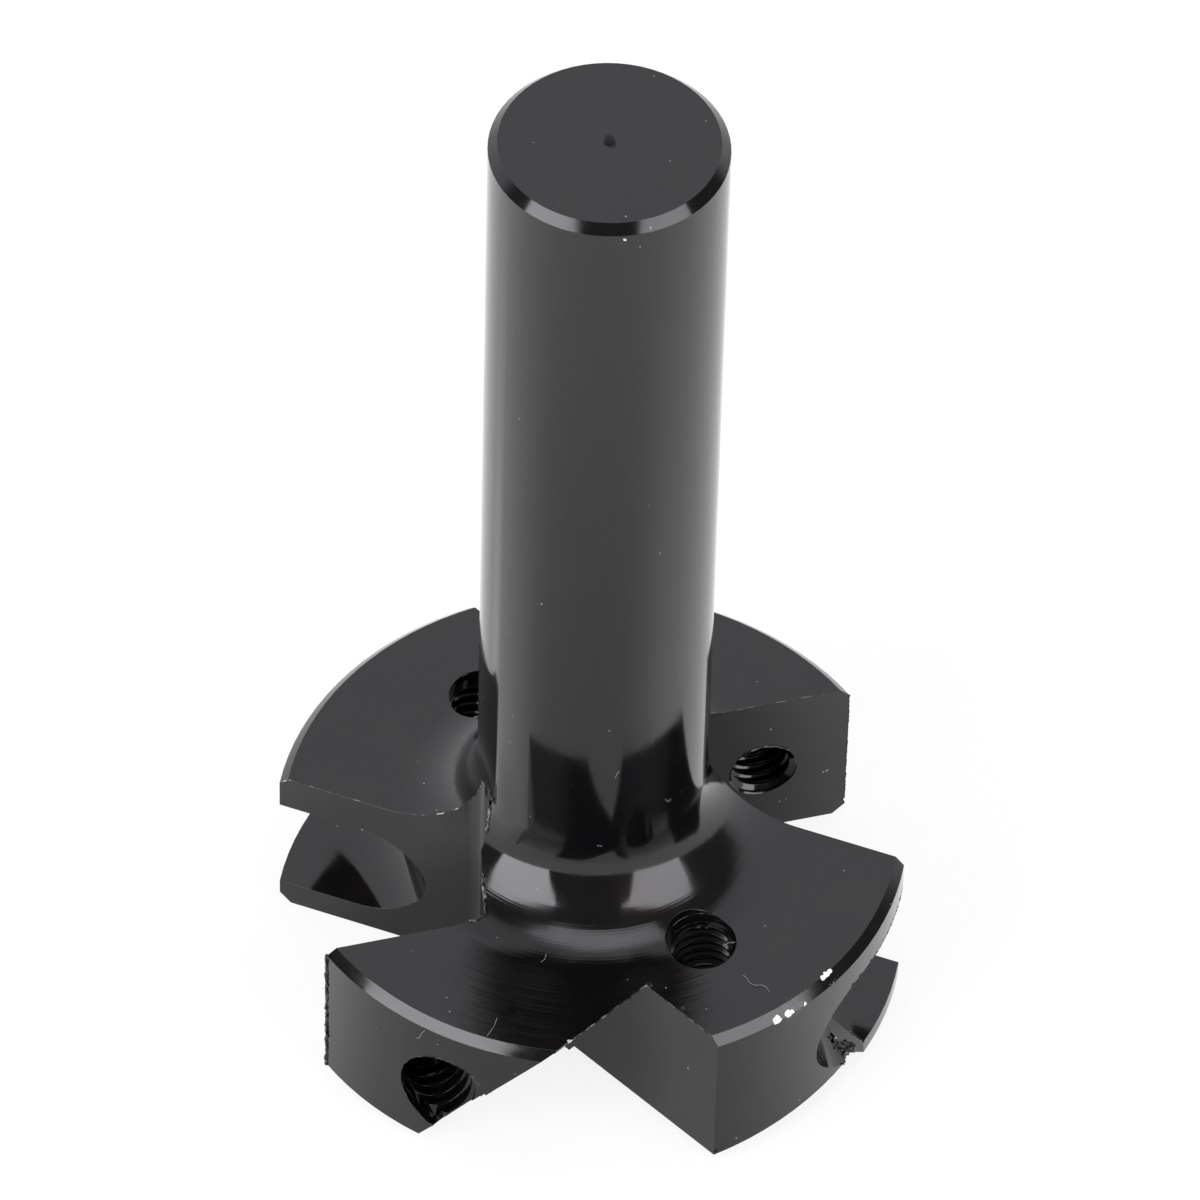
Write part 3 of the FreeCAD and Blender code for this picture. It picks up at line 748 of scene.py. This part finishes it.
def centre_mark():
    """Dull oblong left by the lathe centre in the shank's end."""
    tree, graph, place, result = new_group("centre_mark", ["Mask"])
    centre = (0.06 * MM, 0.05 * MM, 63.2 * MM)
    offset = graph.vector("SUBTRACT", place, centre)[0]
    gap = graph.length(graph.stretch(offset, (1, 0.55, 1)))
    graph.feed(result, Mask=graph.ramp(gap, 0.24 * MM, 0.42 * MM, 1.0, 0.0))
    return tree


def oxide_shades():
    """Slow change of the finish between black and thin brown, and of its gloss."""
    tree, graph, place, result = new_group("oxide_shades", ["Brown", "Gloss"])
    brown = graph.ramp(graph.noise(place, 260, 3), 0.52, 0.7)
    neck_patch = (1.1 * MM, -7.4 * MM, 12.0 * MM)
    neck = graph.ramp(graph.distance(place, neck_patch), 0.6 * MM, 2.4 * MM, 1.0, 0.0)
    gloss = graph.ramp(graph.noise(graph.stretch(place, (1, 1, 0.4)), 500, 4), 0.3, 0.7)
    graph.feed(result, Brown=graph.sum("MAXIMUM", graph.sum("MULTIPLY", brown, 0.35), neck), Gloss=gloss)
    return tree


class CUTTER_OT_finish(bpy.types.Operator):
    """Give the steel its black oxide with the tool marks, chips and dust"""

    bl_idname = "cutter.finish"
    bl_label = "Black oxide"

    def execute(self, context):
        look = context.scene.oxide_finish
        makers = (turning_marks, milling_marks, dust_specks, chips, centre_mark, oxide_shades)
        groups = {make.__name__: make() for make in makers}
        body_finish = self.oxide(look, "black_oxide", groups, 0.0)
        # The burrs' patches of light steel colour are partly real wear and partly painted highlight where
        # they catch the light; the share is larger for brighter burrs
        burr_finishes = {
            "oxide": self.oxide(look, "burr_oxide_and_glint", groups, 0.05),
            "wear_and_glint": self.oxide(look, "burr_wear_and_glint", groups, 0.2),
            "bare": self.oxide(look, "burr_bare_and_glint", groups, 0.5),
        }
        fibre_finish = self.fibre(look)
        for piece in context.scene.objects:
            finish = None
            if piece.name == "threaded_body":
                finish = body_finish
            elif piece.name == "torn_lip":
                finish = burr_finishes["oxide"]
            elif piece.name in BURRS:
                finish = burr_finishes[BURRS[piece.name][-1]]
            elif piece.name in LINT:
                finish = fibre_finish
            if finish:
                piece.data.materials.clear()
                piece.data.materials.append(finish)
        return {"FINISHED"}

    def fibre(self, look):
        """Grey fibre, a little lighter in places."""
        material = bpy.data.materials.new("lint_fibre")
        material.use_nodes = True
        graph = Graph(material.node_tree)
        place = graph.node("ShaderNodeTexCoord").outputs["Object"]
        tone = graph.blend(graph.noise(place, 2500), (*look.dust, 1), (0.22, 0.215, 0.205, 1))
        graph.feed(material.node_tree.nodes["Principled BSDF"], Base_Color=tone, Roughness=0.8)
        return material

    def oxide(self, look, name, groups, wear_and_glint):
        """Glossy black oxide with its marks; the last argument says how bright its patches of light steel
        colour are, partly real wear and partly painted highlight where a burr catches the light.
        """
        material = bpy.data.materials.new(name)
        graph = fresh_graph(material)
        place = graph.node("ShaderNodeTexCoord").outputs["Object"]
        marks = {}
        for key, tree in groups.items():
            marks[key] = graph.feed(graph.node("ShaderNodeGroup", node_tree=tree), Place=place).outputs

        tone = graph.blend(marks["oxide_shades"]["Brown"], (*look.black, 1), (*look.brown, 1))
        bare = marks["chips"]["Mask"]
        if wear_and_glint:
            # Patches painted in light steel colour: partly real wear, partly painted highlight on the burrs
            wear_glint_patches = graph.ramp(graph.noise(place, 1500, 3), 0.52, 0.66, 0.0, wear_and_glint)
            bare = graph.sum("MAXIMUM", bare, wear_glint_patches)
        scuffs_and_glint = graph.sum("MAXIMUM", bare, marks["chips"]["Scuff"])
        # Chips, scuffs and the burrs' painted highlight patches all take the light steel colour
        chipped = graph.blend(scuffs_and_glint, tone, (*look.bare, 1))
        dust = marks["dust_specks"]["Mask"]
        dusty = graph.blend(dust, chipped, (*look.dust, 1))

        low, high = look.roughness * 0.8, look.roughness * 1.3
        gloss = graph.ramp(marks["oxide_shades"]["Gloss"], 0.0, 1.0, low, high)
        gloss = graph.sum("MULTIPLY_ADD", marks["turning_marks"]["Turned"], 0.04, gloss)
        spotted = graph.sum("MULTIPLY", graph.sum("MAXIMUM", scuffs_and_glint, dust), 0.5)
        dull = graph.sum("MAXIMUM", graph.sum("MULTIPLY", marks["centre_mark"]["Mask"], 0.9), spotted)
        turned, milled = marks["turning_marks"]["Height"], marks["milling_marks"]["Height"]
        height = graph.sum("MULTIPLY_ADD", turned, 0.85, milled)
        edges = graph.feed(graph.node("ShaderNodeBevel", samples=4), Radius=look.edge).outputs["Normal"]
        bump = graph.node("ShaderNodeBump")
        graph.feed(bump, Strength=1.0, Distance=0.006 * MM, Height=height, Normal=edges)
        shader = graph.node("ShaderNodeBsdfPrincipled")
        graph.feed(shader, Base_Color=dusty, Metallic=0.0, IOR=1.5, Normal=bump.outputs["Normal"])
        graph.feed(shader, Roughness=graph.sum("MAXIMUM", gloss, dull))
        graph.feed(graph.node("ShaderNodeOutputMaterial"), Surface=shader.outputs["BSDF"])
        return material


# Floor, light and camera

# The camera's place in millimetres, the way it looks, what is across and upward in its view, and its lens
EYE = (-118.18, -410.0, 492.91)
AHEAD = (0.187544, 0.64976, -0.73664)
ACROSS = (0.96605, -0.257679, 0.018662)
UPWARD = (0.177691, 0.715132, 0.676027)
LENS = 349.41

COOL_WHITE = (0.985, 0.98, 1.02)
FLOOR_RADIUS = 4.0  # in metres
LAMP_DISTANCE = 0.8  # in metres
# Middle of the front softboxes in degrees above the floor; they reach from the floor's level to twice that
SOFTBOX_RISE = 23.5
# Middle of the bright backdrop in degrees to the right, and where it starts and ends fading to either side
BACKDROP_TURN, BACKDROP_FADE = 7, (64, 80)


def lamp_span(half):
    """Width of a lamp that reaches so many degrees to either side of its middle."""
    return 2 * LAMP_DISTANCE * math.tan(math.radians(half))


def area_lamp(name, azimuth, elevation, width, height, radiance):
    """Softbox that faces the cutter from a compass direction (0 behind the cutter, 90 to its right)."""
    turn, rise = math.radians(azimuth), math.radians(elevation)
    toward = Vector((math.sin(turn) * math.cos(rise), math.cos(turn) * math.cos(rise), math.sin(rise)))
    lamp = bpy.data.lights.new(name, "AREA")
    lamp.shape = "RECTANGLE"
    lamp.size, lamp.size_y = width, height
    lamp.color = COOL_WHITE
    lamp.energy = radiance * math.pi * width * height
    piece = bpy.data.objects.new(name, lamp)
    bpy.context.scene.collection.objects.link(piece)
    piece.location = toward * LAMP_DISTANCE
    piece.rotation_euler = toward.to_track_quat("Z", "Y").to_euler()


class CUTTER_OT_stage(bpy.types.Operator):
    """Set up the floor, the lamps and the camera"""

    bl_idname = "cutter.stage"
    bl_label = "Studio"

    def execute(self, context):
        look = context.scene.studio_look
        bpy.ops.object.select_all(action="DESELECT")
        bpy.ops.mesh.primitive_circle_add(
            vertices=96, radius=FLOOR_RADIUS, fill_type="NGON", location=(0, 0, 0))
        floor = context.active_object
        floor.name = "floor"
        floor.data.materials.append(self.floor_white(look))
        context.scene.world = self.studio_world(look)

        tall = lamp_span(SOFTBOX_RISE)
        area_lamp("softbox_left", -113, SOFTBOX_RISE, lamp_span(21), tall, look.softbox_left)
        area_lamp("softbox_right", 143, SOFTBOX_RISE, lamp_span(20), tall, look.softbox_right)
        area_lamp("softbox_top", 180, 82, 0.5, 0.3, look.softbox_top)

        lens = bpy.data.cameras.new("camera")
        camera = bpy.data.objects.new("camera", lens)
        context.scene.collection.objects.link(camera)
        lens.lens = LENS
        lens.sensor_width = 36
        lens.clip_start, lens.clip_end = 0.05, 20
        axes = Matrix([Vector(ACROSS), Vector(UPWARD), -Vector(AHEAD)]).transposed()
        camera.matrix_world = Matrix.Translation(Vector(EYE) * MM) @ axes.to_4x4()
        context.scene.camera = camera
        context.scene.view_settings.view_transform = "Standard"
        return {"FINISHED"}

    def floor_white(self, look):
        """Matt pale floor; the camera sees it white, and the steel mirrors it dimmer where it is shaded."""
        white = bpy.data.materials.new("floor_white")
        graph = fresh_graph(white)
        matt = graph.feed(graph.node("ShaderNodeBsdfDiffuse"), Color=(*look.floor, 1))
        path = graph.node("ShaderNodeLightPath").outputs
        place = graph.node("ShaderNodeTexCoord").outputs["Object"]
        # Shaded in front of the cutter, close round it, and in the left gullet
        forward, gullet_middle = (-0.42, -0.91, 0), (-16.5 * MM, 2 * MM, 0)
        front = graph.vector("DOT_PRODUCT", graph.vector("NORMALIZE", place)[0], forward)["Value"]
        ahead = graph.ramp(front, 0.3, 0.9)
        near = graph.ramp(graph.length(place), 18 * MM, 80 * MM, 1.0, 0.0)
        close = graph.ramp(graph.length(place), 11 * MM, 19.5 * MM, 0.68, 0.0)
        gullet = graph.ramp(graph.distance(place, gullet_middle), 3 * MM, 8 * MM, 0.35, 0.0)
        shade = graph.sum("MULTIPLY", graph.sum("MULTIPLY", ahead, near), 0.5)
        shade = graph.sum("MAXIMUM", graph.sum("MAXIMUM", shade, close), gullet)
        strength = graph.node("ShaderNodeMix")
        graph.feed(strength, Factor=path["Is Camera Ray"], A=graph.sum("SUBTRACT", 1.17, shade), B=1.0)
        glow = graph.feed(graph.node("ShaderNodeEmission"), Strength=strength.outputs["Result"])
        seen = graph.sum("MAXIMUM", path["Is Camera Ray"], path["Is Glossy Ray"])
        both = graph.node("ShaderNodeMixShader")
        graph.feed(both, i0=graph.sum("MULTIPLY", seen, 0.85), i1=matt.outputs[0], i2=glow.outputs[0])
        graph.feed(graph.node("ShaderNodeOutputMaterial"), Surface=both.outputs[0])
        return white

    def studio_world(self, look):
        """White for the camera; what the steel mirrors is a bright backdrop and a dark room in front."""
        world = bpy.data.worlds.new("studio")
        graph = fresh_graph(world)
        parts = graph.node("ShaderNodeSeparateXYZ")
        parts = graph.feed(parts, Vector=graph.node("ShaderNodeTexCoord").outputs["Generated"]).outputs
        compass = graph.sum("ARCTAN2", parts["X"], parts["Y"])
        turned = graph.sum("ABSOLUTE", graph.sum("SUBTRACT", compass, math.radians(BACKDROP_TURN)))
        start, end = (math.radians(edge) for edge in BACKDROP_FADE)
        behind = graph.ramp(turned, start, end, look.back, look.dark)
        above = graph.ramp(parts["Z"], 0.8, 0.93, 1.0, 0.8)
        room = graph.node("ShaderNodeBackground")
        graph.feed(room, Color=(*COOL_WHITE, 1), Strength=graph.sum("MULTIPLY", behind, above))
        seen = graph.feed(graph.node("ShaderNodeBackground"), Color=(1, 1, 1, 1))
        camera = graph.node("ShaderNodeLightPath").outputs["Is Camera Ray"]
        both = graph.node("ShaderNodeMixShader")
        graph.feed(both, i0=camera, i1=room.outputs[0], i2=seen.outputs[0])
        graph.feed(graph.node("ShaderNodeOutputWorld"), Surface=both.outputs[0])
        return world


class CUTTER_PT_panel(bpy.types.Panel):
    """Lists the steps"""

    bl_idname = "CUTTER_PT_panel"
    bl_label = "Router bit"
    bl_space_type = "VIEW_3D"
    bl_region_type = "UI"
    bl_category = "Router Bit"

    def draw(self, context):
        for operator in OPERATORS:
            self.layout.operator(operator.bl_idname)
        for group in GROUPS:
            for name in GROUPS[group].__annotations__:
                self.layout.prop(getattr(context.scene, group), name)


OPERATORS = (CUTTER_OT_body, CUTTER_OT_burrs, CUTTER_OT_lint, CUTTER_OT_finish, CUTTER_OT_stage)
GROUPS = {
    "thread_sizes": ThreadSizes,
    "burr_sizes": BurrSizes,
    "oxide_finish": OxideFinish,
    "studio_look": StudioLook,
}


def register():
    for item in (*GROUPS.values(), *OPERATORS, CUTTER_PT_panel):
        bpy.utils.register_class(item)
    for name, group in GROUPS.items():
        setattr(bpy.types.Scene, name, PointerProperty(type=group))


def unregister():
    for name in GROUPS:
        delattr(bpy.types.Scene, name)
    for item in reversed((*GROUPS.values(), *OPERATORS, CUTTER_PT_panel)):
        bpy.utils.unregister_class(item)


def main():
    register()
    bpy.ops.cutter.body()
    bpy.ops.cutter.burrs()
    bpy.ops.cutter.lint()
    bpy.ops.cutter.finish()
    bpy.ops.cutter.stage()


if __name__ == "__main__":
    main()
